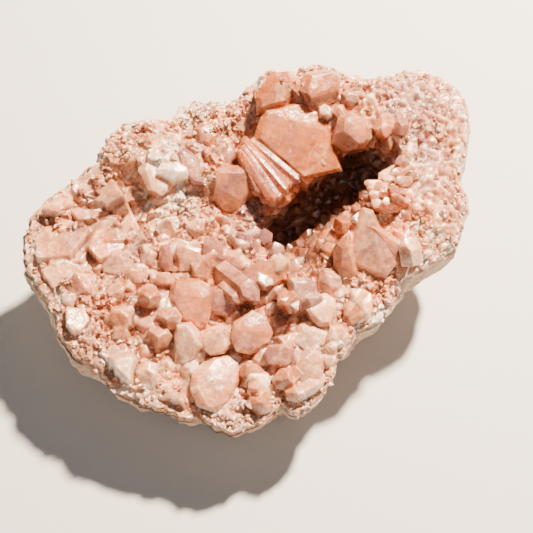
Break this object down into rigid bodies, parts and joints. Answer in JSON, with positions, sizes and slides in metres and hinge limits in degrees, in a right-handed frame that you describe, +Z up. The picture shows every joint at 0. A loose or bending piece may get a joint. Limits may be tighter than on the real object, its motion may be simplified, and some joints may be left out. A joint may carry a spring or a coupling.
{
  "type": "pink amethyst geode",
  "caption": "Half geode of pink amethyst: a rough stone rind with a flat underside, lined with a crust of six-sided quartz crystals round a deep hollow.",
  "frame": {"origin": "on the flat underside, below the middle of the geode", "axes": "+X along the geode to its narrower right end, +Y to its high back, +Z up out of the open face"},
  "size_m": [0.1395, 0.097, 0.0568],
  "materials": {
    "rind_stone": "rough, matt, chalky",
    "pink_quartz": "glassy crystal faces, translucent"
  },
  "bodies": {
    "root": {"rind": "rind_stone", "crystal_crust": "pink_quartz"}
  },
  "joints": []
}
